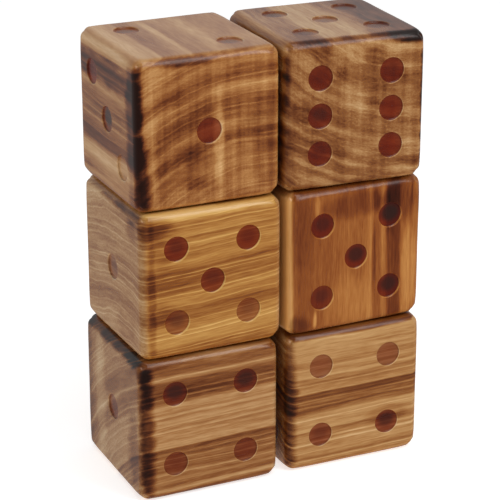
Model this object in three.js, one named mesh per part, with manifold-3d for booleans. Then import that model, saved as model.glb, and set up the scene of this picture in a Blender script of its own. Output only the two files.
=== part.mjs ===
// Six giant wooden yard dice, stacked in two columns of three.
// Millimetres, +Z up, +X to the right along the fronts, +Y to the back.

import * as THREE from 'three';
import { RoundedBoxGeometry } from 'three/addons/geometries/RoundedBoxGeometry.js';
import { mergeVertices } from 'three/addons/utils/BufferGeometryUtils.js';
import Module from 'manifold-3d';

const DIE_SIZE = 88.9; // dressed 4 x 4 lumber, 3.5 inches
const EDGE_RADIUS = 5.5;
const EDGE_STEPS = 2;
const PIP_SPACING = 22.5;
const PIP_DIAMETER = 15;
const PIP_DEPTH = 1;
const PIP_SIDES = 16;
const LEVEL_GAP = 0.3; // between stacked dice, so that no two solids touch
const LEVEL_PITCH = DIE_SIZE + LEVEL_GAP;
const CUTTER_RISE = 2; // how far a pip's cutter stands proud of the face

// Each die: its place in the stack, a small slide and turn of its own, the values of three
// faces (opposite faces add up to seven), and the colour of its wood.
const DICE = [
  {
    name: 'die_bottom_left', level: 0, x: 0, y: 0, turn: 0,
    front: 4, left: 1, top: 2, colour: 0xb08a5c,
  },
  {
    name: 'die_middle_left', level: 1, x: 2.1, y: 0.8, turn: 0.4,
    front: 5, left: 1, top: 4, colour: 0xc79a55,
  },
  {
    name: 'die_top_left', level: 2, x: 1.8, y: 2.8, turn: 0,
    front: 1, left: 3, top: 2, colour: 0xa5734a,
  },
  {
    name: 'die_bottom_right', level: 0, x: 94.8, y: -1, turn: -0.4,
    front: 4, left: 2, top: 6, colour: 0xb27f45,
  },
  {
    name: 'die_middle_right', level: 1, x: 93.4, y: 0, turn: 1.4,
    front: 5, left: 4, top: 6, colour: 0xa8703f,
  },
  {
    name: 'die_top_right', level: 2, x: 94.2, y: -0.3, turn: -2.3,
    front: 6, left: 3, top: 5, colour: 0xb08458,
  },
];

const OPPOSITE = { front: 'back', left: 'right', top: 'bottom' };

// For each face: its outward direction, and which way is right and up when looked at squarely.
const FACES = {
  front: { out: [0, -1, 0], right: [1, 0, 0], up: [0, 0, 1] },
  back: { out: [0, 1, 0], right: [-1, 0, 0], up: [0, 0, 1] },
  left: { out: [-1, 0, 0], right: [0, -1, 0], up: [0, 0, 1] },
  right: { out: [1, 0, 0], right: [0, 1, 0], up: [0, 0, 1] },
  top: { out: [0, 0, 1], right: [1, 0, 0], up: [0, 1, 0] },
  bottom: { out: [0, 0, -1], right: [1, 0, 0], up: [0, -1, 0] },
};

const CENTRE = [[0, 0]];
const FALLING = [[-1, 1], [1, -1]];
const RISING = [[-1, -1], [1, 1]];
const MIDDLE_ROW = [[-1, 0], [1, 0]];

// The pips of each value, in steps of the pip spacing to the right and up.
const PIPS = {
  1: CENTRE,
  2: FALLING,
  3: [...FALLING, ...CENTRE],
  4: [...FALLING, ...RISING],
  5: [...FALLING, ...RISING, ...CENTRE],
  6: [...FALLING, ...RISING, ...MIDDLE_ROW],
};

const wasm = await Module();
wasm.setup();

function toSolid(geometry) {
  geometry.deleteAttribute('normal');
  geometry.deleteAttribute('uv');
  const merged = mergeVertices(geometry);
  const vertProperties = new Float32Array(merged.attributes.position.array);
  const triVerts = new Uint32Array(merged.index.array);
  return new wasm.Manifold(new wasm.Mesh({ numProp: 3, vertProperties, triVerts }));
}

function toGeometry(solid) {
  const mesh = solid.getMesh();
  const geometry = new THREE.BufferGeometry();
  geometry.setAttribute('position', new THREE.BufferAttribute(mesh.vertProperties, 3));
  geometry.setIndex(new THREE.BufferAttribute(mesh.triVerts, 1));
  geometry.computeVertexNormals();
  return geometry;
}

// A short cylinder that sinks one pip into a face.
function pipCutter(face, [across, upward]) {
  const length = PIP_DEPTH + CUTTER_RISE;
  const radius = PIP_DIAMETER / 2;
  const out = new THREE.Vector3(...face.out);
  const place = out.clone().multiplyScalar(DIE_SIZE / 2 - PIP_DEPTH + length / 2);
  place.addScaledVector(new THREE.Vector3(...face.right), across * PIP_SPACING);
  place.addScaledVector(new THREE.Vector3(...face.up), upward * PIP_SPACING);
  const turn = new THREE.Quaternion().setFromUnitVectors(new THREE.Vector3(0, 1, 0), out);
  const geometry = new THREE.CylinderGeometry(radius, radius, length, PIP_SIDES);
  geometry.applyQuaternion(turn);
  geometry.translate(place.x, place.y, place.z);
  return toSolid(geometry);
}

// All six face values, from the three that are given.
function faceValues(die) {
  const values = {};
  for (const [side, opposite] of Object.entries(OPPOSITE)) {
    values[side] = die[side];
    values[opposite] = 7 - die[side];
  }
  return values;
}

function dieGeometry(die) {
  let solid = toSolid(new RoundedBoxGeometry(DIE_SIZE, DIE_SIZE, DIE_SIZE, EDGE_STEPS, EDGE_RADIUS));
  for (const [side, value] of Object.entries(faceValues(die))) {
    for (const step of PIPS[value]) {
      solid = solid.subtract(pipCutter(FACES[side], step));
    }
  }
  return toGeometry(solid);
}

function dieMesh(die) {
  const material = new THREE.MeshStandardMaterial({
    color: die.colour,
    roughness: 0.45,
    metalness: 0,
  });
  const mesh = new THREE.Mesh(dieGeometry(die), material);
  mesh.name = die.name;
  mesh.position.set(die.x, die.y, DIE_SIZE / 2 + die.level * LEVEL_PITCH);
  mesh.rotation.z = THREE.MathUtils.degToRad(die.turn);
  return mesh;
}

// The whole set stands on z = 0, with the middle of its bounding box over the origin.
function diceSet() {
  const set = new THREE.Group();
  for (const die of DICE) {
    set.add(dieMesh(die));
  }
  const middle = new THREE.Box3().setFromObject(set, true).getCenter(new THREE.Vector3());
  set.position.set(-middle.x, -middle.y, 0);
  return set;
}

export default diceSet();
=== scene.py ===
"""Six giant wooden yard dice in two stacks of three: torched, stained and varnished pine.

Each die is one mesh with drilled, eased pips, made in the die's own millimetres about its
centre, and one block of procedural wood that runs through it from face to face.
"""

import math
import random
from dataclasses import dataclass, field

import bpy
import numpy as np
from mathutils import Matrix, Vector, noise


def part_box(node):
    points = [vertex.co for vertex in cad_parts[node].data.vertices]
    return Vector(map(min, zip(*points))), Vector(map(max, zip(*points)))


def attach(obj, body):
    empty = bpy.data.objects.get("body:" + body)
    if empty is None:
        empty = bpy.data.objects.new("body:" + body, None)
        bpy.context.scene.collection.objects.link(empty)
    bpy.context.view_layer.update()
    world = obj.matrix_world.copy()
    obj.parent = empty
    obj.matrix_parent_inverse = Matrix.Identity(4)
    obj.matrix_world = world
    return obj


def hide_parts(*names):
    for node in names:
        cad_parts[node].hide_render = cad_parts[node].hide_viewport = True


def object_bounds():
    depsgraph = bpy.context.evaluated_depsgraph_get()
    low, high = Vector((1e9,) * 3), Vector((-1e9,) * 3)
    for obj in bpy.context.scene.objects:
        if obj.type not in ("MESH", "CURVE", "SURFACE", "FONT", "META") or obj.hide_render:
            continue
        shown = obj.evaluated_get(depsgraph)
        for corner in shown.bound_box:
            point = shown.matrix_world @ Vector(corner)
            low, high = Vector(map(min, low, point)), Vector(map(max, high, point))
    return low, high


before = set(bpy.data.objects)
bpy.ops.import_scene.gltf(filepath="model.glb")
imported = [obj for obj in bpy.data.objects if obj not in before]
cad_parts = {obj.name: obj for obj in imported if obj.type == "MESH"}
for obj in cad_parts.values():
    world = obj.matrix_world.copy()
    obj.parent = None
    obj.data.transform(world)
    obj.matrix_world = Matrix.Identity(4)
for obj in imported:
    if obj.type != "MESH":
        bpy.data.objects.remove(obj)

CAD_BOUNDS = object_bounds()
MM = 0.001

# Sizes shared by every die, in millimetres.
HALF = (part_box("die_bottom_left")[1][2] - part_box("die_bottom_left")[0][2]) / MM / 2
EDGE_RADIUS = 5.5
CORNER_EXTRA = 3.0  # how much rounder a corner is than an edge
CORNER_REACH = 16.0  # how far from a corner that starts
PIP_SPACING = 22.5
PIP_RADIUS = 7.5
PIP_EASE = 0.7  # the rounding of a pip's rim
PIP_MARGIN = 0.3  # flat wood kept round the rim
PIP_TAPER = 0.1  # how much narrower the wall is at its foot
PIP_DEPTH = 1.0
PIP_FILLET = 0.35  # the rounding at the foot of the wall
PIP_DISH = 0.08  # how much deeper the floor is in its middle
FLOOR_RADII = (6.2, 5.3, 4.4, 3.4, 2.3, 1.2)

# Wear from sanding: (half the most it takes off, noise scale per millimetre).
BROAD_WEAR = (0.10, 0.035)
FINE_WEAR = (0.03, 0.16)
WEAR_STEP = (31.7, 17.3, 5.9)  # how far apart two dice are in that noise

# How a pip is marked, in millimetres; its dark core is partly burn and partly painted shade.
SCORCH_AND_SHADE_RADIUS = 5.6
SCORCH_AND_SHADE_GROWTH = 2.0  # how much wider a full scorch is than none
SCORCH_AND_SHADE_FADE = 3.5
# The dark core sits above the middle, where the upper wall's shade falls: painted shade.
SCORCH_AND_SHADE_MIDDLE = (0.3, 1.0)
SCORCH_AND_SHADE_SQUASH = 1.15  # how much wider than tall a scorch is
STAIN_FADE = 0.12
STAIN_AT_RIM = 0.92  # the floor's stain next to the wall, as a part of its stain in the middle
# The pip's rim is left pale: unstained wood all round, and at the lower right also a painted
# highlight, where the stain starts deeper.
BARE_AND_HIGHLIGHT_FADE = 0.1
LEAST_BARE_DEPTH = 0.2  # how far down the wall is bare away from the lower right
LEAST_BARE = 0.2  # how bare it is there, as a part of the lower right's

# How strongly unseen pips are stained and given a dark core of burn and painted shade: (least,
# most).
STAIN_RANGE = (0.75, 1.0)
SCORCH_AND_SHADE_RANGE = (0.0, 0.4)

# How finely a face is divided.
CELL_STEPS = 16
STRIP_STEPS = 2
ARC_STEPS = 7
CELL_RINGS = 4
WALL_RINGS = 4


# ---------------------------------------------------------------- the dice

@dataclass
class Patch:
    """A soft spot in a die: browner (tone above 0) or paler (below 0), and charred (char). A few
    also stand partly for painted highlights and shade, as noted where they are listed.

    Its centre and radii are in the die's own millimetres.
    """
    centre: tuple
    radii: tuple
    tone: float = 0.0
    char: float = 0.0


@dataclass
class Die:
    """One die: its faces, the block of wood it was sawn from, and how it was burnt.

    Its turn is in degrees, anticlockwise from above. The grain runs along one axis, and pith is
    where the rings' centre lies on the other two, in millimetres. Tilt leans the rings along the
    grain, and they wander waver millimetres broadly and ripple millimetres more finely.

    A tone runs from 0, pale, to 1, deep brown. Bands are (place, tone), with the place in
    millimetres across the rings from the one at the middle of the front, upward or, where the
    grain is upright, to the right. The lines, clouds, streaks, flecks and brushing are how much
    tone each adds. On end grain the bands keep only end_contrast of their distance from end_tone.

    Stains and dark cores are per face, pip by pip; a dark core is partly burn and partly painted
    shade. At a pip's lower right the stain starts deeper, at the die's lower-right wall depth,
    leaving a pale wall there that is a painted highlight. The tints colour the faces that follow
    the grain (tint) and the two that cut across it (end_tint).
    """
    name: str
    turn: float
    front: int
    left: int
    top: int
    grain: str
    pith: tuple
    bands: list
    patches: list
    tilt: float = 0.0
    waver: float = 3.0
    ripple: float = 0.6
    line_spacing: float = 4.0
    line_tone: float = 0.16
    clouds: float = 0.2
    streaks: float = 0.25
    flecks: float = 0.3
    brushing: float = 0.0
    end_tone: float = 0.5
    end_contrast: float = 1.0
    stains: dict = field(default_factory=dict)
    scorch_and_shade_levels: dict = field(default_factory=dict)
    highlight_wall_depth: float = 0.2
    tint: tuple = (1.0, 1.0, 1.0)
    end_tint: tuple = (1.0, 1.0, 1.0)


BOTTOM_LEFT = Die(
    name="bottom_left", turn=0, front=4, left=1, top=2,
    grain="x", pith=(-140, -190), tilt=0.035,
    bands=[
        (-46, 0.62), (-40, 0.56), (-35, 0.60), (-33, 0.28), (-31, 0.52), (-26, 0.42),
        (-23, 0.54), (-17, 0.50), (-13, 0.58), (-10, 0.64), (-9, 0.26), (-6, 0.32),
        (-1, 0.38), (4, 0.34), (6, 0.24), (9, 0.38), (13, 0.36), (14, 0.22), (17, 0.52),
        (22, 0.62), (27, 0.56), (29, 0.28), (31, 0.50), (36, 0.64), (40, 0.60), (44, 0.44),
    ],
    patches=[
        Patch((-41.5, -47, 5), (8, 7.5, 90), 0.45, 0.15),
        Patch((-43, -46, 36), (7, 8, 12), 0.2, 0.4),
        Patch((-46, 0, 46), (9, 110, 9), 0.35, 0.7),
        Patch((-46, -32, 46), (9, 24, 9), 0.0, 0.9),
        Patch((-46, 44, 46), (9, 20, 9), 0.0, 0.9),
        # Paler along the top front rounding: partly paler wood, partly a painted highlight.
        Patch((6, -45, 45), (64, 8, 6), -0.22),
        Patch((-46, 20, 0), (5, 11, 80), -0.18),
        Patch((-46, -33, -16), (6, 12, 30), 0.22, 0.1),
        Patch((-46, 42, 0), (6, 13, 80), 0.16, 0.3),
        Patch((-46, -30, 20), (5, 16, 30), 0.0, 0.15),
        Patch((-10, -46, 23), (42, 5, 7), 0.12, 0.1),
    ],
    line_spacing=4.2, line_tone=0.2, clouds=0.16, streaks=0.3, flecks=0.4,
    end_tone=0.5, end_contrast=0.7,
    stains={"front": (0.95, 0.82, 0.8, 0.95), "left": (0.7,)},
    scorch_and_shade_levels={"front": (0.8, 0.0, 0.1, 0.8), "left": (0.3,)},
    tint=(1.0, 0.98, 1.0), end_tint=(1.0, 1.12, 1.4),
)

MIDDLE_LEFT = Die(
    name="middle_left", turn=0.4, front=5, left=1, top=4,
    grain="x", pith=(-20, -170), tilt=0.045,
    bands=[
        (-46, 0.46), (-38, 0.36), (-30, 0.28), (-24, 0.32), (-19, 0.46), (-14, 0.54),
        (-10, 0.40), (-6, 0.32), (-2, 0.42), (2, 0.50), (6, 0.42), (10, 0.52), (14, 0.34),
        (20, 0.42), (24, 0.32), (28, 0.44), (32, 0.34), (37, 0.42), (40, 0.26), (46, 0.16),
    ],
    patches=[
        Patch((-42, -46, 34), (22, 10, 12), 0.34, 0.08),
        Patch((-38, -46, -6), (3.5, 5, 80), 0.18),
        Patch((-45, -45, 2), (4, 5, 34), -0.12),
        Patch((-30, -46, 3), (34, 8, 14), 0.08),
        Patch((-32, -46, -16), (11, 8, 9), 0.14),
        Patch((-32, -46, 17), (9, 8, 8), 0.1),
        Patch((-46, -28, 43), (6, 26, 9), 0.3, 0.35),
        Patch((-45, 10, 46), (6, 60, 7), 0.4, 0.2),
        Patch((-46, 46, 0), (5, 6, 70), 0.0, 0.4),
        # Paler along the top front rounding: partly paler wood, partly a painted highlight.
        Patch((0, -44, 43), (60, 6, 4.5), -0.26),
        Patch((0, -30, 48), (60, 16, 6), 0.3),
        # Darker along the bottom front edge, where it rests on the die below: partly browner wood,
        # partly painted contact shade.
        Patch((0, -46, -42), (60, 8, 8), 0.14),
        Patch((-46, 16, 0), (5, 34, 12), -0.1),
        Patch((-46, -22, -32), (5, 24, 12), 0.14),
        Patch((-46, -32, 32), (6, 12, 9), 0.2, 0.1),
    ],
    ripple=1.6, line_spacing=3.4, line_tone=0.24, clouds=0.16, streaks=0.4, flecks=0.35,
    end_tone=0.42, end_contrast=0.8,
    stains={"front": (1.0, 0.72, 0.72, 1.0, 0.95), "left": (0.55,)},
    scorch_and_shade_levels={"front": (0.45, 0.25, 0.4, 0.35, 0.35)},
    highlight_wall_depth=0.75, tint=(1.04, 0.93, 0.56), end_tint=(0.98, 1.04, 1.2),
)

TOP_LEFT = Die(
    name="top_left", turn=0, front=1, left=3, top=2,
    grain="y", pith=(32, -118),
    bands=[
        (-60, 0.50), (-41, 0.44), (-36, 0.36), (-30, 0.50), (-25, 0.38), (-19, 0.50),
        (-13, 0.56), (-8, 0.60), (-5, 0.54), (-3, 0.36), (-1, 0.28), (1, 0.36), (4, 0.58),
        (9, 0.62), (13, 0.54), (17, 0.48), (19, 0.30), (22, 0.30), (24, 0.54), (28, 0.66),
        (31, 0.60), (33, 0.36), (35, 0.32), (38, 0.48), (42, 0.34), (44, 0.48), (47, 0.34),
        (50, 0.46), (53, 0.24), (60, 0.40),
    ],
    patches=[
        Patch((-44, -44, 13), (5, 6, 44), 0.48),
        Patch((-42, -45, -25), (7.5, 7, 30), 0.45, 0.1),
        Patch((6, -46, -8), (4, 8, 44), -0.2),
        Patch((-36, -46, 6), (6, 8, 50), -0.12),
        Patch((-16, -46, 42), (28, 6, 4), 0.3, 0.3),
        Patch((-46, 0, 40), (6, 90, 5), -0.2),
        Patch((-46, 0, 28), (5, 90, 12), 0.42),
        Patch((-46, 0, 12), (5, 90, 6), -0.12),
        Patch((-46, -37, 4), (6, 10, 60), 0.34),
        Patch((-46, 0, 1), (5, 90, 6), 0.2, 0.2),
        Patch((-46, 0, -14), (5, 90, 6), 0.1, 0.15),
        Patch((-46, 0, -29), (5, 90, 12), -0.2),
        Patch((-12, -46, -15), (12, 8, 7), 0.08),
        Patch((-10, -46, -30), (10, 8, 6), 0.16),
        Patch((-38, 8, 46), (5, 80, 6), -0.12),
        Patch((-18, 8, 46), (7, 80, 6), 0.14),
        Patch((-9, 8, 46), (3, 80, 6), -0.2),
        Patch((4, 8, 46), (5, 80, 6), 0.08),
        Patch((14, 8, 46), (4, 80, 6), -0.1),
        Patch((-20, -46, 6), (24, 8, 40), 0.1),
        Patch((14, -46, -24), (12, 8, 20), -0.06),
        Patch((35, -46, -22), (13, 8, 20), 0.12),
        Patch((32, -46, 2), (18, 8, 9), 0.14, 0.15),
        Patch((0, -46, -32), (11, 8, 9), 0.1),
        Patch((-32, -46, -16), (10, 8, 9), 0.12),
        Patch((4, -46, 27), (38, 8, 11), -0.07),
    ],
    waver=2.5, ripple=1.0, line_spacing=5.0, line_tone=0.17, clouds=0.3, streaks=0.3,
    flecks=0.25, brushing=0.5, end_tone=0.47, end_contrast=0.72,
    # The top pips' weaker stain is partly real and partly a painted sheen.
    stains={"front": (0.95,), "left": (1.0, 0.1, 0.8), "top": (0.6, 0.65)},
    scorch_and_shade_levels={"left": (0.3, 0.0, 1.0), "top": (0.4, 0.5)},
    highlight_wall_depth=0.75, tint=(1.02, 1.0, 1.04), end_tint=(1.05, 0.96, 0.84),
)

BOTTOM_RIGHT = Die(
    name="bottom_right", turn=-0.4, front=4, left=2, top=6,
    grain="x", pith=(20, -170), tilt=0.015,
    bands=[
        (-46, 0.42), (-36, 0.34), (-34, 0.46), (-32, 0.28), (-28, 0.32), (-21, 0.30),
        (-19, 0.44), (-17, 0.26), (-11, 0.22), (-9, 0.20), (-7, 0.48), (-3, 0.60),
        (-1, 0.50), (2, 0.64), (5, 0.66), (6, 0.20), (8, 0.32), (12, 0.42), (15, 0.34),
        (16, 0.20), (18, 0.32), (22, 0.30), (24, 0.42), (26, 0.30), (33, 0.24), (37.5, 0.18),
        (38.8, 0.62), (46, 0.66),
    ],
    patches=[
        Patch((-45, -44, 0), (8, 7, 95), 0.3, 0.3),
        Patch((-46, 0, 0), (7, 70, 70), 0.26),
        Patch((46, -46, 2), (7, 6, 10), 0.2, 0.4),
        Patch((46, -46, 38), (6, 6, 14), 0.2, 0.3),
        Patch((24, -46, -17), (20, 6, 8), 0.16),
    ],
    line_spacing=4.5, line_tone=0.22, clouds=0.14, streaks=0.5, flecks=0.35,
    end_tone=0.55, end_contrast=0.8,
    stains={"front": (0.72, 0.95, 0.88, 0.72)},
    scorch_and_shade_levels={"front": (0.0, 0.7, 0.3, 0.0)},
    tint=(1.0, 0.96, 0.88), end_tint=(1.15, 1.2, 1.3),
)

MIDDLE_RIGHT = Die(
    name="middle_right", turn=1.4, front=5, left=4, top=6,
    grain="z", pith=(-190, 30),
    bands=[
        # The palest bands, first in the list, lie on the left front rounding: partly unburnt wood
        # and partly painted light where the die beside it shades it.
        (-48, 0.0), (-39.5, 0.0), (-38, 0.44), (-35, 0.56), (-32, 0.54), (-24, 0.52),
        (-14, 0.48), (-4, 0.48), (3, 0.52), (6, 0.42), (7.5, 0.32), (10, 0.52), (14, 0.50),
        (16, 0.36), (18, 0.44), (20, 0.68), (27.5, 0.68), (29.5, 0.46), (35, 0.44), (36, 0.56),
        (37, 0.46), (41, 0.38), (46, 0.46),
    ],
    patches=[
        Patch((-4, -46, -30), (20, 10, 24), -0.14),
        Patch((-36, -46, 20), (10, 10, 40), 0.1),
        Patch((-8, -46, 46), (44, 10, 6), 0.16, 0.1),
        Patch((2, -46, 33), (28, 8, 11), 0.18),
        Patch((36, -46, -14), (7.5, 8, 38), -0.22),
        Patch((-26, -46, 35), (2.5, 6, 10), -0.22),
        Patch((-27, -46, -36), (1.8, 6, 8), -0.34),
        Patch((12, -46, -2), (2.2, 6, 32), 0.18),
        Patch((-38, -46, -38), (9, 8, 9), 0.15, 0.3),
        Patch((27, -46, 32), (16, 10, 22), 0.2, 0.1),
        Patch((46, -46, 20), (6, 6, 50), 0.1, 0.3),
        # Darker along the bottom front edge, where it rests on the die below: partly charred wood,
        # partly painted contact shade.
        Patch((-30, -46, -46), (40, 8, 5), 0.1, 0.3),
    ],
    waver=3.5, line_spacing=7.0, line_tone=0.05, clouds=0.2, streaks=0.1, flecks=0.3,
    end_tone=0.55, end_contrast=0.5,
    stains={"front": (1.0, 1.0, 0.9, 1.0, 1.0)},
    scorch_and_shade_levels={"front": (0.62, 0.85, 0.5, 1.0, 0.85)},
    highlight_wall_depth=0.75, tint=(1.02, 0.77, 0.46), end_tint=(1.0, 0.85, 0.7),
)

TOP_RIGHT = Die(
    name="top_right", turn=-2.3, front=6, left=3, top=5,
    grain="y", pith=(45, 125),
    bands=[
        (-60, 0.60), (-54, 0.48), (-49, 0.60), (-45, 0.46), (-41, 0.58), (-37, 0.42),
        (-33, 0.58), (-29, 0.44), (-25, 0.60), (-21, 0.48), (-17, 0.56), (-13, 0.42),
        (-9, 0.56), (-5, 0.46), (-1, 0.56), (3, 0.40), (7, 0.52), (11, 0.42), (15, 0.52),
        (19, 0.60), (27, 0.58), (30, 0.38), (35, 0.36), (38, 0.46), (40, 0.30), (44, 0.28),
        (46, 0.60), (50, 0.66), (56, 0.62),
    ],
    patches=[
        Patch((-2, -46, 0), (9, 8, 56), -0.12),
        Patch((36, -6, 48), (25, 56, 12), 0.1, 0.3),
        Patch((-14, 4, 48), (30, 60, 8), -0.08),
        Patch((46, -45, 0), (5, 6, 80), 0.2, 0.7),
        Patch((-47, 0, -10), (6.5, 90, 60), 0.3, 0.4),
        Patch((-32, -46, -4), (17, 8, 22), 0.06),
        Patch((-2, -44, 45), (64, 7, 5), 0.35, 0.1),
        Patch((38, -45, 43), (20, 9, 7), 0.35, 0.9),
        Patch((44, -45, 14), (4, 6, 46), 0.3, 0.3),
        Patch((-45, -45, 26), (5, 6, 24), 0.35, 0.2),
        # Darker along the bottom front edge, where it rests on the die below: partly charred wood,
        # partly painted contact shade.
        Patch((-10, -46, -46), (60, 8, 7), 0.1, 0.4),
        Patch((33, -46, -6), (11, 8, 36), -0.06),
        Patch((12, -46, 32), (9, 8, 9), 0.16),
        Patch((11, -46, 3), (8, 8, 10), 0.16),
        Patch((-33, -46, 3), (10, 8, 11), 0.18),
        Patch((-13, -46, 32), (10, 8, 9), -0.12),
        Patch((4, -46, -28), (12, 8, 11), -0.1),
        Patch((14, -46, -14), (10, 8, 10), -0.12),
        Patch((-36, 0, 48), (12, 80, 8), -0.08),
    ],
    waver=3.5, ripple=2.2, line_spacing=5.0, line_tone=0.08, clouds=0.6, streaks=0.4,
    flecks=0.35, brushing=0.4, end_contrast=0.9,
    # The top pips' weaker stain is partly real and partly a painted sheen.
    stains={"front": (1.0, 1.0, 1.0, 1.0, 1.0, 1.0), "top": (0.65, 0.6, 0.65, 0.6, 0.6)},
    scorch_and_shade_levels={"front": (0.25, 0.0, 0.3, 0.35, 0.6, 0.1), "top": (0.6, 0.5, 0.5, 0.6, 0.4)},
    tint=(1.0, 1.05, 1.15), end_tint=(1.0, 1.02, 1.08),
)

DICE = [BOTTOM_LEFT, MIDDLE_LEFT, TOP_LEFT, BOTTOM_RIGHT, MIDDLE_RIGHT, TOP_RIGHT]


# ---------------------------------------------------------------- mesh

# For each face: its outward direction, and which way is right and up when looked at squarely.
FACES = {
    "front": ((0, -1, 0), (1, 0, 0), (0, 0, 1)),
    "back": ((0, 1, 0), (-1, 0, 0), (0, 0, 1)),
    "left": ((-1, 0, 0), (0, -1, 0), (0, 0, 1)),
    "right": ((1, 0, 0), (0, 1, 0), (0, 0, 1)),
    "top": ((0, 0, 1), (1, 0, 0), (0, 1, 0)),
    "bottom": ((0, 0, -1), (1, 0, 0), (0, -1, 0)),
}
OPPOSITE = {"front": "back", "left": "right", "top": "bottom"}

CENTRE = [(0, 0)]
FALLING = [(-1, 1), (1, -1)]
RISING = [(-1, -1), (1, 1)]
MIDDLE_ROW = [(-1, 0), (1, 0)]
PIPS = {
    1: CENTRE,
    2: FALLING,
    3: FALLING + CENTRE,
    4: FALLING + RISING,
    5: FALLING + RISING + CENTRE,
    6: FALLING + RISING + MIDDLE_ROW,
}


def face_values(die):
    """All six face values: opposite faces add up to seven."""
    values = {}
    for side, opposite in OPPOSITE.items():
        values[side] = getattr(die, side)
        values[opposite] = 7 - values[side]
    return values


def face_lines():
    """Grid coordinates across a face: even cells about the pips, then the rounding's arc."""
    cell_edge = 1.5 * PIP_SPACING
    flat_edge = HALF - EDGE_RADIUS
    cells = np.linspace(-cell_edge, cell_edge, 3 * CELL_STEPS + 1)
    strip = np.linspace(cell_edge, flat_edge, STRIP_STEPS + 1)[1:]
    angles = np.linspace(0, math.pi / 4, ARC_STEPS + 1)[1:]
    outer = np.concatenate([strip, flat_edge + EDGE_RADIUS * np.tan(angles)])
    return np.concatenate([-outer[::-1], cells, outer])


def pip_rings():
    """Rings from a pip cell's square border in to the pip's centre: (squareness, radius, depth)."""
    rim = PIP_RADIUS + PIP_EASE
    foot = PIP_RADIUS - PIP_TAPER
    quarter_turn = np.linspace(0, math.pi / 2, WALL_RINGS + 1)
    rings = [(1 - step / CELL_RINGS, rim + PIP_MARGIN, 0.0) for step in range(CELL_RINGS + 1)]
    for angle in quarter_turn:
        rings.append((0, rim - PIP_EASE * math.sin(angle), PIP_EASE * (1 - math.cos(angle))))
    for angle in quarter_turn:
        inset = PIP_FILLET * (1 - math.cos(angle))
        rings.append((0, foot - inset, PIP_DEPTH - PIP_FILLET * (1 - math.sin(angle))))
    for radius in FLOOR_RADII:
        rings.append((0, radius, PIP_DEPTH + PIP_DISH * (1 - (radius / PIP_RADIUS) ** 2)))
    return rings


class FaceBuilder:
    """Collects one die's cube-surface points, their depths and marks, and its polygons.

    A point's marks are (stain, dark core, paleness): how much it has of the pip's stain; of its
    dark core, partly burn and partly painted shade; and of its pale rim, partly unstained wood
    and partly a painted highlight at the lower right.
    """

    def __init__(self):
        self.surface = []
        self.outward = []
        self.depths = []
        self.marks = []
        self.polygons = []

    def add_point(self, axes, u, v, depth=0.0, marks=(0.0, 0.0, 0.0)):
        out, right, up = axes
        self.surface.append([HALF * o + u * r + v * w for o, r, w in zip(out, right, up)])
        self.outward.append(out)
        self.depths.append(depth)
        self.marks.append(marks)

    def add_grid(self, axes, lines, pips):
        """A square grid of quads, with the cells of the face's pips left out."""
        count = len(lines)
        start = len(self.surface)
        for v in lines:
            for u in lines:
                self.add_point(axes, u, v)
        cells = [pip_cell(lines[i], lines[i + 1]) for i in range(count - 1)]
        for row in range(count - 1):
            for column in range(count - 1):
                if (cells[column], cells[row]) in pips:
                    continue
                corner = start + row * count + column
                self.polygons.append((corner, corner + 1, corner + count + 1, corner + count))

    def add_pip(self, axes, across, upward, highlight_wall_depth, stain, scorch_and_shade):
        """One drilled pip inside its square cell."""
        border = cell_border()
        rings = pip_rings()
        around = len(border)
        start = len(self.surface)
        middle_u = across * PIP_SPACING
        middle_v = upward * PIP_SPACING
        for squareness, radius, depth in rings:
            for x, y in border:
                scale = squareness + (1 - squareness) * radius / math.hypot(x, y)
                marks = pip_marks(x * scale, y * scale, depth, highlight_wall_depth, stain, scorch_and_shade)
                self.add_point(axes, middle_u + x * scale, middle_v + y * scale, depth, marks)
        hub = len(self.surface)
        marks = pip_marks(0, 0, PIP_DEPTH, highlight_wall_depth, stain, scorch_and_shade)
        self.add_point(axes, middle_u, middle_v, PIP_DEPTH + PIP_DISH, marks)
        for ring in range(len(rings) - 1):
            first = start + ring * around
            for step in range(around):
                after = (step + 1) % around
                inner = first + around
                self.polygons.append((first + step, first + after, inner + after, inner + step))
        last = start + (len(rings) - 1) * around
        for step in range(around):
            self.polygons.append((last + step, last + (step + 1) % around, hub))


def pip_marks(x, y, depth, highlight_wall_depth, stain, scorch_and_shade):
    """A point's marks: the dark core, partly burn and partly painted shade from the upper wall,
    sits just above the middle; the rim is pale, unstained wood all round, and paler at the lower
    right, where the stain starts deeper, as a painted highlight.
    """
    from_middle = math.hypot(x, y)
    # The lower right is where the rim's painted highlight goes.
    highlight_side = max(x - y, 0) / (from_middle * math.sqrt(2) + 0.01)
    bare_and_highlight_depth = LEAST_BARE_DEPTH + (highlight_wall_depth - LEAST_BARE_DEPTH) * highlight_side
    soaked = clamped((depth - bare_and_highlight_depth) / STAIN_FADE)
    inside = 1 - min(from_middle / PIP_RADIUS, 1) ** 3
    from_dark_core = math.hypot(x - SCORCH_AND_SHADE_MIDDLE[0], (y - SCORCH_AND_SHADE_MIDDLE[1]) * SCORCH_AND_SHADE_SQUASH)
    # The dark core: partly burn, partly painted shade.
    burnt = clamped((SCORCH_AND_SHADE_RADIUS + SCORCH_AND_SHADE_GROWTH * scorch_and_shade - from_dark_core) / SCORCH_AND_SHADE_FADE)
    drilled = min(depth / BARE_AND_HIGHLIGHT_FADE, 1)
    bare_and_highlight = (1 - soaked) * drilled * (LEAST_BARE + (1 - LEAST_BARE) * highlight_side)
    stained = soaked * stain * (STAIN_AT_RIM + (1 - STAIN_AT_RIM) * inside)
    return (stained, soaked * scorch_and_shade * burnt, bare_and_highlight)


def clamped(value):
    return min(max(value, 0), 1)


def pip_cell(start, end):
    """Which pip cell a grid interval lies in (-1, 0 or 1), or None near the die's edge."""
    middle = (start + end) / 2
    return round(middle / PIP_SPACING) if abs(middle) < 1.5 * PIP_SPACING else None


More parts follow.
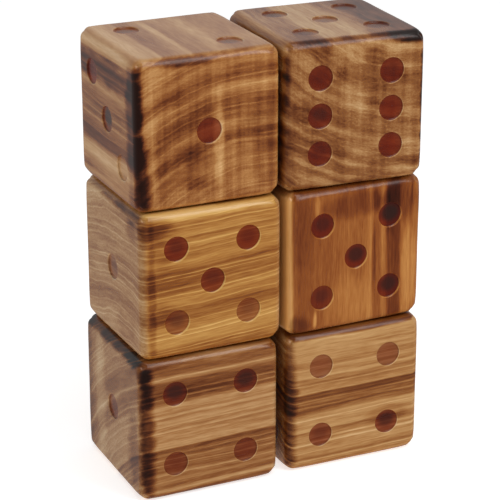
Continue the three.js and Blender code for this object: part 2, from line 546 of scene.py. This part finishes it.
def cell_border():
    """The grid points round one pip cell, anticlockwise, about its centre."""
    half = PIP_SPACING / 2
    side = np.linspace(-half, half, CELL_STEPS + 1)[:-1]
    bottom = [(x, -half) for x in side]
    right = [(half, y) for y in side]
    top = [(-x, half) for x in side]
    left = [(-half, -y) for y in side]
    return bottom + right + top + left


def rounded(surface):
    """Points of the sharp cube moved onto the rounded one."""
    second, third = np.sort(np.abs(surface), axis=1)[:, 1::-1].T
    near_edge = np.clip((second - HALF + CORNER_REACH) / CORNER_REACH, 0, 1)
    near_corner = np.clip((third - HALF + CORNER_REACH) / CORNER_REACH, 0, 1)
    radius = EDGE_RADIUS + CORNER_EXTRA * (near_edge * near_corner) ** 2
    inner = np.clip(surface, (radius - HALF)[:, None], (HALF - radius)[:, None])
    outward = surface - inner
    outward /= np.linalg.norm(outward, axis=1)[:, None]
    return inner + outward * radius[:, None]


def outward_direction(points):
    """The direction straight out of the rounded cube at each point."""
    inner = np.clip(points, EDGE_RADIUS + PIP_DEPTH - HALF, HALF - EDGE_RADIUS - PIP_DEPTH)
    outward = points - inner
    return outward / np.linalg.norm(outward, axis=1)[:, None]


def sanding_dips(points, seed):
    """How far hand sanding has worn each point inward, in millimetres."""
    offset = Vector([seed * step for step in WEAR_STEP])
    dips = []
    for point in points:
        dip = 0.0
        for wear, scale in (BROAD_WEAR, FINE_WEAR):
            dip += wear * (1 + noise.noise(Vector(point) * scale + offset))
        dips.append(dip)
    return np.array(dips)


def weld(points, marks, polygons):
    """Joins the vertices that neighbouring faces share."""
    keys = np.round(points, 3)
    kept, index = np.unique(keys, axis=0, return_index=True, return_inverse=True)[1:]
    index = index.ravel().tolist()
    faces = [tuple(index[corner] for corner in polygon) for polygon in polygons]
    return points[kept], marks[kept], faces


def turned(points, degrees):
    """Points turned about the vertical axis through the die's centre."""
    cosine = math.cos(math.radians(degrees))
    sine = math.sin(math.radians(degrees))
    return points @ np.array([[cosine, sine, 0], [-sine, cosine, 0], [0, 0, 1]])


def built_faces(die, seed):
    """The die's six faces as a sharp cube's, with every pip's depths and marks."""
    builder = FaceBuilder()
    lines = face_lines()
    rng = random.Random(seed)
    for side, value in face_values(die).items():
        axes = FACES[side]
        builder.add_grid(axes, lines, PIPS[value])
        stains = die.stains.get(side) or [rng.uniform(*STAIN_RANGE) for _ in PIPS[value]]
        scorch_and_shade_levels = die.scorch_and_shade_levels.get(side) or [rng.uniform(*SCORCH_AND_SHADE_RANGE) for _ in PIPS[value]]
        for (across, upward), stain, scorch_and_shade in zip(PIPS[value], stains, scorch_and_shade_levels):
            builder.add_pip(axes, across, upward, die.highlight_wall_depth, stain, scorch_and_shade)
    return builder


def die_mesh(die, seed):
    builder = built_faces(die, seed)
    points = rounded(np.array(builder.surface))
    points -= np.array(builder.outward) * np.array(builder.depths)[:, None]
    points, marks, faces = weld(points, np.array(builder.marks), builder.polygons)
    points = points - outward_direction(points) * sanding_dips(points, seed)[:, None]
    mesh = bpy.data.meshes.new(die.name)
    mesh.from_pydata((turned(points, die.turn) * MM).tolist(), [], faces)
    for name, values in zip(("stain", "scorch_and_shade", "bare_and_highlight"), marks.T):
        mesh.attributes.new(name, "FLOAT", "POINT").data.foreach_set("value", values)
    mesh.polygons.foreach_set("use_smooth", [True] * len(mesh.polygons))
    mesh.update()
    return mesh


# ---------------------------------------------------------------- wood

def srgb(red, green, blue, alpha=1.0):
    """An 8-bit screen colour as the linear colour that shaders use."""
    def linear(value):
        value = value / 255
        return value / 12.92 if value <= 0.04045 else ((value + 0.055) / 1.055) ** 2.4
    return (linear(red), linear(green), linear(blue), alpha)


# Torched pine from palest to deepest brown: (tone, colour).
WOOD_TONES = [
    (0.00, srgb(224, 186, 138)),
    (0.15, srgb(204, 160, 106)),
    (0.35, srgb(177, 125, 72)),
    (0.52, srgb(147, 90, 42)),
    (0.68, srgb(112, 56, 17)),
    (0.84, srgb(72, 29, 8)),
    (1.00, srgb(40, 16, 8)),
]
CHAR_COLOUR = srgb(30, 18, 13)
STAIN_COLOUR = srgb(112, 29, 4)
STAIN_FILTER = (0.5, 0.13, 0.05, 1.0)  # what the stain lets through of the wood under it
STAIN_COVER = 0.45  # how much of the stain is colour of its own
# The pips' dark core: partly burn and partly painted shade.
SCORCH_AND_SHADE_COLOUR = srgb(46, 30, 25)
SCORCH_AND_SHADE_COVER = 0.85
# How much paler a pip's rim is: unstained wood, and at the lower right a painted highlight.
BARE_AND_HIGHLIGHT_TONE = -0.35
VARNISH_IOR = 1.45
ROUGHNESS = (0.24, 0.34)  # on pale and on deep brown wood
ROUGHNESS_TONES = (0.3, 1.0)  # the tones that count as those
RELIEF = 0.15 * MM
RELIEF_STRENGTH = 0.35

# What ring lines, streaks and flecks add to the char and to the relief.
CHAR_PER_LINE = -0.6
CHAR_PER_STREAK = 1.2
RELIEF_PER_LINE = 0.5
RELIEF_PER_STREAK = 0.3
RELIEF_PER_FLECK = 0.5

# Noise scales, per millimetre, along the block's two axes across the grain and the one along it.
WAVER_SCALE = (0.022, 0.022, 0.006)
RIPPLE_SCALE = (0.07, 0.07, 0.03)

# The same, along (across the rings, round them, along the grain).
WANDER_SCALE = (0.16, 0.06, 0.05)
CLOUD_SCALE = (0.10, 0.03, 0.014)
STREAK_SCALE = (0.45, 0.05, 0.016)
FLECK_SCALE = (1.5, 0.7, 0.11)

# Sanding strokes, per millimetre, along the die's own x, y and z.
UPRIGHT_SCALE = (0.24, 0.24, 0.010)
LEVEL_SCALE = (0.02, 0.02, 0.9)
LEVEL_SHARE = 0.4  # how strong the level ones are beside the upright ones

# How far apart two dice are in each noise, so that no two share a figure.
BEND_STEP = (37.0, 71.0, 53.0)
FIGURE_STEP = (137.0, 71.0, 211.0)
DRIFT_STEP = 50.0
LINE_STEP = 13.0

# Ring lines, in parts of their spacing: where one peaks and ends, and how far it drifts.
LINE_PEAK = 0.12
LINE_END = 0.5
LINE_DRIFT = 2.4
LINE_DRIFT_SCALE = 0.12  # per millimetre
LINE_STRENGTH = (0.2, 1.0)
LINE_CHANCES = (0.1, 0.9)  # the chances that give the weakest and the strongest
FIRST_LINE = 200.0  # keeps the count of lines above zero

# A patch is full out to its heart and gone at its rim, as parts of its radii.
PATCH_HEART = 0.4
PATCH_RIM = 1.05
PATCH_WANDER = 0.9

# End grain starts and is full this far in from the end faces, in millimetres.
END_START = 5
END_FULL = 1


class Graph:
    """Shorthand for one material's nodes: all but node, feed and split return one output."""

    def __init__(self, material):
        self.tree = material.node_tree

    def node(self, kind, inputs=None, **settings):
        node = self.tree.nodes.new(kind)
        for name, value in settings.items():
            setattr(node, name, value)
        for key, value in (inputs or {}).items():
            self.feed(node.inputs[key], value)
        return node

    def feed(self, socket, value):
        if isinstance(value, bpy.types.NodeSocket):
            self.tree.links.new(value, socket)
        else:
            socket.default_value = value

    def math(self, operation, first, second=0.0):
        return self.node("ShaderNodeMath", {0: first, 1: second}, operation=operation).outputs[0]

    def minus(self, first, second):
        return self.math("SUBTRACT", first, second)

    def add(self, *values):
        total = values[0]
        for value in values[1:]:
            total = self.math("ADD", total, value)
        return total

    def times(self, first, second):
        return self.math("MULTIPLY", first, second)

    def smooth(self, value, low, high, start=0.0, end=1.0):
        inputs = {0: value, 1: low, 2: high, 3: start, 4: end}
        settings = {"interpolation_type": "SMOOTHSTEP"}
        return self.node("ShaderNodeMapRange", inputs, **settings).outputs[0]

    def vector(self, operation, first, second=(0, 0, 0)):
        inputs = {0: first, 1: second}
        node = self.node("ShaderNodeVectorMath", inputs, operation=operation)
        return node.outputs[1] if operation == "LENGTH" else node.outputs[0]

    def split(self, vector):
        return self.node("ShaderNodeSeparateXYZ", {0: vector}).outputs

    def join(self, x, y, z):
        return self.node("ShaderNodeCombineXYZ", {0: x, 1: y, 2: z}).outputs[0]

    def noise(self, vector, scale, detail, output="Fac"):
        """Noise from 0 to 1, with its own scale along each axis."""
        scaled = self.vector("MULTIPLY", vector, scale)
        inputs = {"Vector": scaled, "Scale": 1.0, "Detail": detail}
        return self.node("ShaderNodeTexNoise", inputs).outputs[output]

    def even_noise(self, vector, scale, detail=3.0):
        """Noise about zero, from -0.5 to 0.5."""
        return self.minus(self.noise(vector, scale, detail), 0.5)

    def noise_1d(self, value, scale):
        inputs = {"W": value, "Scale": scale, "Detail": 1.0}
        node = self.node("ShaderNodeTexNoise", inputs, noise_dimensions="1D")
        return self.minus(node.outputs["Fac"], 0.5)

    def random_of(self, value):
        """A number from 0 to 1 that is constant for each whole number."""
        node = self.node("ShaderNodeTexWhiteNoise", {"W": value}, noise_dimensions="1D")
        return node.outputs["Value"]

    def ramp(self, value, stops):
        node = self.node("ShaderNodeValToRGB", {0: value})
        elements = node.color_ramp.elements
        while len(elements) < len(stops):
            elements.new(0.5)
        for element, (place, colour) in zip(elements, stops):
            element.position = place
            element.color = colour
        return node.outputs[0]

    def mix(self, factor, first, second, blend_type="MIX"):
        settings = {"data_type": "RGBA", "blend_type": blend_type}
        return self.node("ShaderNodeMix", {0: factor, 6: first, 7: second}, **settings).outputs[2]


def die_space(g, die):
    """The point in the die's own millimetres, from its centre."""
    coordinates = g.node("ShaderNodeTexCoord").outputs["Object"]
    scaled = g.vector("MULTIPLY", coordinates, (1 / MM, 1 / MM, 1 / MM))
    inputs = {"Vector": scaled, "Angle": -math.radians(die.turn)}
    return g.node("ShaderNodeVectorRotate", inputs, rotation_type="Z_AXIS").outputs[0]


def ring_space(g, die, local, seed):
    """The point as (across the rings, round them, along the grain), in millimetres."""
    x, y, z = g.split(local)
    first, second, along = {"x": (y, z, x), "y": (x, z, y), "z": (x, y, z)}[die.grain]
    if die.grain == "z":
        first = g.add(first, g.times(along, -die.tilt))
    else:
        second = g.add(second, g.times(along, -die.tilt))
    centred = g.join(g.minus(first, die.pith[0]), g.minus(second, die.pith[1]), 0)
    place = g.join(first, second, along)
    shifted = g.vector("ADD", place, [seed * step for step in BEND_STEP])
    for amount, scale in ((die.waver, WAVER_SCALE), (die.ripple, RIPPLE_SCALE)):
        bend = g.noise(shifted, scale, 1.0, "Color")
        bend = g.vector("SUBTRACT", bend, (0.5, 0.5, 0.5))
        bend = g.vector("MULTIPLY", bend, (2 * amount, 2 * amount, 0))
        centred = g.vector("ADD", centred, bend)
    reference = {"x": (-HALF, 0), "y": (0, 0), "z": (0, -HALF)}[die.grain]
    at_front = math.hypot(reference[0] - die.pith[0], reference[1] - die.pith[1])
    sense = -1 if die.grain != "z" and die.pith[1] > 0 else 1
    outward = g.times(g.minus(g.vector("LENGTH", centred), at_front), sense)
    across, upward, _ = g.split(centred)
    angle = g.math("ARCTAN2", across, g.times(upward, sense))
    return outward, g.times(angle, at_front), along


def band_tone(g, die, outward):
    """The die's own broad light and dark bands."""
    low = die.bands[0][0]
    high = die.bands[-1][0]
    stops = [((place - low) / (high - low), (tone, tone, tone, 1)) for place, tone in die.bands]
    position = g.math("DIVIDE", g.minus(outward, low), high - low)
    return g.ramp(position, stops)


def ring_lines(g, die, outward, seed):
    """Thin pale lines along the rings, of uneven strength and spacing."""
    drift = g.noise_1d(g.add(outward, seed * DRIFT_STEP), LINE_DRIFT_SCALE)
    drift = g.times(drift, LINE_DRIFT)
    count = g.add(g.math("DIVIDE", outward, die.line_spacing), drift, FIRST_LINE)
    whole = g.math("FLOOR", count)
    part = g.minus(count, whole)
    chance = g.random_of(g.add(whole, seed * LINE_STEP))
    strength = g.smooth(chance, *LINE_CHANCES, *LINE_STRENGTH)
    rise = g.smooth(part, 0.0, LINE_PEAK)
    fall = g.smooth(part, LINE_PEAK, LINE_END, 1.0, 0.0)
    return g.times(g.times(rise, fall), strength)


def patch_strength(g, patch, local, wander):
    """1 in the patch's heart, 0 past its rim."""
    offset = g.vector("SUBTRACT", local, patch.centre)
    scaled = g.vector("DIVIDE", offset, patch.radii)
    distance = g.add(g.vector("LENGTH", scaled), g.times(wander, PATCH_WANDER))
    return g.smooth(distance, PATCH_HEART, PATCH_RIM, 1.0, 0.0)


def patch_layers(g, die, local, space):
    """The patches' summed tone and char: their rims wander along the grain."""
    wander = g.even_noise(space, WANDER_SCALE)
    tone = 0.0
    char = 0.0
    for patch in die.patches:
        strength = patch_strength(g, patch, local, wander)
        if patch.tone:
            tone = g.add(tone, g.times(strength, patch.tone))
        if patch.char:
            char = g.add(char, g.times(strength, patch.char))
    return tone, char


def end_mask(g, along):
    """1 on the two end-grain faces, 0 on the four that follow the grain."""
    return g.smooth(g.math("ABSOLUTE", along), HALF - END_START, HALF - END_FULL)


def brush_tone(g, local, ends):
    """Faint upright and level strokes that sanding leaves on end grain."""
    upright = g.even_noise(local, UPRIGHT_SCALE)
    level = g.even_noise(local, LEVEL_SCALE, 2.0)
    return g.times(g.add(upright, g.times(level, LEVEL_SHARE)), ends)


def wood_layers(g, die, seed):
    """At a point of the torched wood: tone, char, the height of fine relief, and end grain."""
    local = die_space(g, die)
    outward, around, along = ring_space(g, die, local, seed)
    place = g.join(outward, around, along)
    space = g.vector("ADD", place, [seed * step for step in FIGURE_STEP])
    lines = ring_lines(g, die, outward, seed)
    ends = end_mask(g, along)
    clouds = g.even_noise(space, CLOUD_SCALE)
    streaks = g.even_noise(space, STREAK_SCALE)
    flecks = g.even_noise(space, FLECK_SCALE)
    contrast = g.smooth(ends, 0.0, 1.0, 1.0, die.end_contrast)
    bands = g.minus(band_tone(g, die, outward), die.end_tone)
    patch_tone, patch_char = patch_layers(g, die, local, space)
    tone = g.add(
        g.times(bands, contrast),
        die.end_tone,
        patch_tone,
        g.times(clouds, die.clouds),
        g.times(streaks, die.streaks),
        g.times(flecks, die.flecks),
        g.times(brush_tone(g, local, ends), die.brushing),
        g.times(g.times(lines, -die.line_tone), contrast),
    )
    uneven = g.add(1.0, g.times(streaks, CHAR_PER_STREAK), g.times(lines, CHAR_PER_LINE))
    char = g.times(patch_char, uneven)
    relief = g.add(
        g.times(lines, RELIEF_PER_LINE),
        g.times(flecks, RELIEF_PER_FLECK),
        g.times(streaks, RELIEF_PER_STREAK),
    )
    return tone, char, relief, ends


def mark_strength(g, name):
    return g.node("ShaderNodeAttribute", attribute_name=name).outputs["Fac"]


def wood_material(die, seed):
    material = bpy.data.materials.new("wood_" + die.name)
    material.use_nodes = True
    g = Graph(material)
    shader = material.node_tree.nodes["Principled BSDF"]
    tone, char, relief, ends = wood_layers(g, die, seed)
    # Paler pip rims: unstained wood, and a painted highlight at the lower right.
    tone = g.add(tone, g.times(mark_strength(g, "bare_and_highlight"), BARE_AND_HIGHLIGHT_TONE))
    colour = g.ramp(tone, WOOD_TONES)
    tint = g.mix(ends, (*die.tint, 1.0), (*die.end_tint, 1.0))
    colour = g.mix(1.0, colour, tint, "MULTIPLY")
    colour = g.mix(g.smooth(char, 0.0, 1.0), colour, CHAR_COLOUR)
    soaked = g.mix(STAIN_COVER, g.mix(1.0, colour, STAIN_FILTER, "MULTIPLY"), STAIN_COLOUR)
    colour = g.mix(mark_strength(g, "stain"), colour, soaked)
    # The pips' dark core, partly burn and partly painted shade.
    colour = g.mix(g.times(mark_strength(g, "scorch_and_shade"), SCORCH_AND_SHADE_COVER), colour, SCORCH_AND_SHADE_COLOUR)
    g.feed(shader.inputs["Base Color"], colour)
    g.feed(shader.inputs["Roughness"], g.smooth(tone, *ROUGHNESS_TONES, *ROUGHNESS))
    shader.inputs["IOR"].default_value = VARNISH_IOR
    inputs = {"Height": relief, "Strength": RELIEF_STRENGTH, "Distance": RELIEF}
    bump = g.node("ShaderNodeBump", inputs)
    g.feed(shader.inputs["Normal"], bump.outputs[0])
    return material


# ---------------------------------------------------------------- assembly

def middle_of(box):
    return (Vector(box[0]) + Vector(box[1])) / 2


def add_die(die, seed):
    node = "die_" + die.name
    piece = bpy.data.objects.new(die.name, die_mesh(die, seed))
    bpy.context.scene.collection.objects.link(piece)
    piece.location = middle_of(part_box(node))
    piece.data.materials.append(wood_material(die, seed))
    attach(piece, die.name)
    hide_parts(node)


# ---------------------------------------------------------------- stage, light and camera

CAMERA_AZIMUTH = math.radians(-24.9)
CAMERA_ELEVATION = math.radians(20.9)
CAMERA_DISTANCE = 1.2244
CAMERA_LENS = 146.9
SENSOR_WIDTH = 36
AIM_OFFSET = Vector((-0.0022, -0.0010, -0.0034))
WHITE = (1, 1, 1, 1)
FLOOR_COLOUR = (0.8, 0.8, 0.8, 1)
FLOOR_ROUGHNESS = 0.8
FLOOR_REACH = 6.0
FLOOR_GLOW = 0.66

# The world's strength from the front to the back, above and below the horizon, and between
# which values of a direction's y and z it changes.
SKY = (0.2, 0.6)
GROUND = (0.05, 0.4)
FRONT_TO_BACK = (-0.5, 0.9)
HORIZON = (-0.15, 0.1)

# Area lights: name, direction from the object, distance, width, height and power.
SOFTBOXES = [
    ("overhead", (0.0, -0.36, 0.9), 1.2, 0.7, 0.7, 4),
    ("front", (0.39, -0.62, 0.68), 1.3, 0.45, 0.7, 4.5),
]


def add_floor():
    """A white floor that lights the dice but is not mirrored in their varnish."""
    mesh = bpy.data.meshes.new("floor")
    signs = ((-1, -1), (1, -1), (1, 1), (-1, 1))
    corners = [(x * FLOOR_REACH, y * FLOOR_REACH, 0) for x, y in signs]
    mesh.from_pydata(corners, [], [(0, 1, 2, 3)])
    floor = bpy.data.objects.new("floor", mesh)
    floor.location.z = CAD_BOUNDS[0][2]
    floor.visible_glossy = False
    bpy.context.scene.collection.objects.link(floor)
    material = bpy.data.materials.new("floor_white")
    material.use_nodes = True
    shader = material.node_tree.nodes["Principled BSDF"]
    shader.inputs["Base Color"].default_value = FLOOR_COLOUR
    shader.inputs["Roughness"].default_value = FLOOR_ROUGHNESS
    shader.inputs["Emission Color"].default_value = WHITE
    shader.inputs["Emission Strength"].default_value = FLOOR_GLOW
    mesh.materials.append(material)


def add_world():
    """A white studio, brighter behind the object; the varnish sees it dimmer below the horizon."""
    world = bpy.data.worlds.new("studio")
    world.use_nodes = True
    g = Graph(world)
    background = world.node_tree.nodes["Background"]
    direction = g.node("ShaderNodeTexCoord").outputs["Generated"]
    _, y, z = g.split(direction)
    above = g.smooth(y, *FRONT_TO_BACK, *SKY)
    below = g.smooth(y, *FRONT_TO_BACK, *GROUND)
    unseen = g.add(below, g.times(g.minus(above, below), g.smooth(z, *HORIZON)))
    seen = g.node("ShaderNodeLightPath").outputs["Is Camera Ray"]
    strength = g.add(g.times(unseen, g.minus(1.0, seen)), seen)
    g.feed(background.inputs["Strength"], strength)
    background.inputs["Color"].default_value = WHITE
    bpy.context.scene.world = world


def add_softbox(name, direction, distance, width, height, power):
    """A rectangular area light at that distance from the object's middle, facing it."""
    light = bpy.data.lights.new(name, "AREA")
    light.shape = "RECTANGLE"
    light.size = width
    light.size_y = height
    light.energy = power
    lamp = bpy.data.objects.new(name, light)
    target = middle_of(CAD_BOUNDS)
    away = Vector(direction).normalized()
    lamp.location = target + away * distance
    lamp.rotation_euler = away.to_track_quat("Z", "Y").to_euler()
    bpy.context.scene.collection.objects.link(lamp)


def add_camera():
    back = Vector((
        math.sin(CAMERA_AZIMUTH) * math.cos(CAMERA_ELEVATION),
        -math.cos(CAMERA_AZIMUTH) * math.cos(CAMERA_ELEVATION),
        math.sin(CAMERA_ELEVATION),
    ))
    data = bpy.data.cameras.new("camera")
    data.lens = CAMERA_LENS
    data.sensor_width = SENSOR_WIDTH
    camera = bpy.data.objects.new("camera", data)
    camera.location = middle_of(CAD_BOUNDS) + AIM_OFFSET + back * CAMERA_DISTANCE
    camera.rotation_euler = (math.pi / 2 - CAMERA_ELEVATION, 0, CAMERA_AZIMUTH)
    bpy.context.scene.collection.objects.link(camera)
    bpy.context.scene.camera = camera


for number, die in enumerate(DICE, start=1):
    add_die(die, number)
add_floor()
add_world()
for softbox in SOFTBOXES:
    add_softbox(*softbox)
add_camera()
bpy.context.scene.view_settings.view_transform = "Standard"
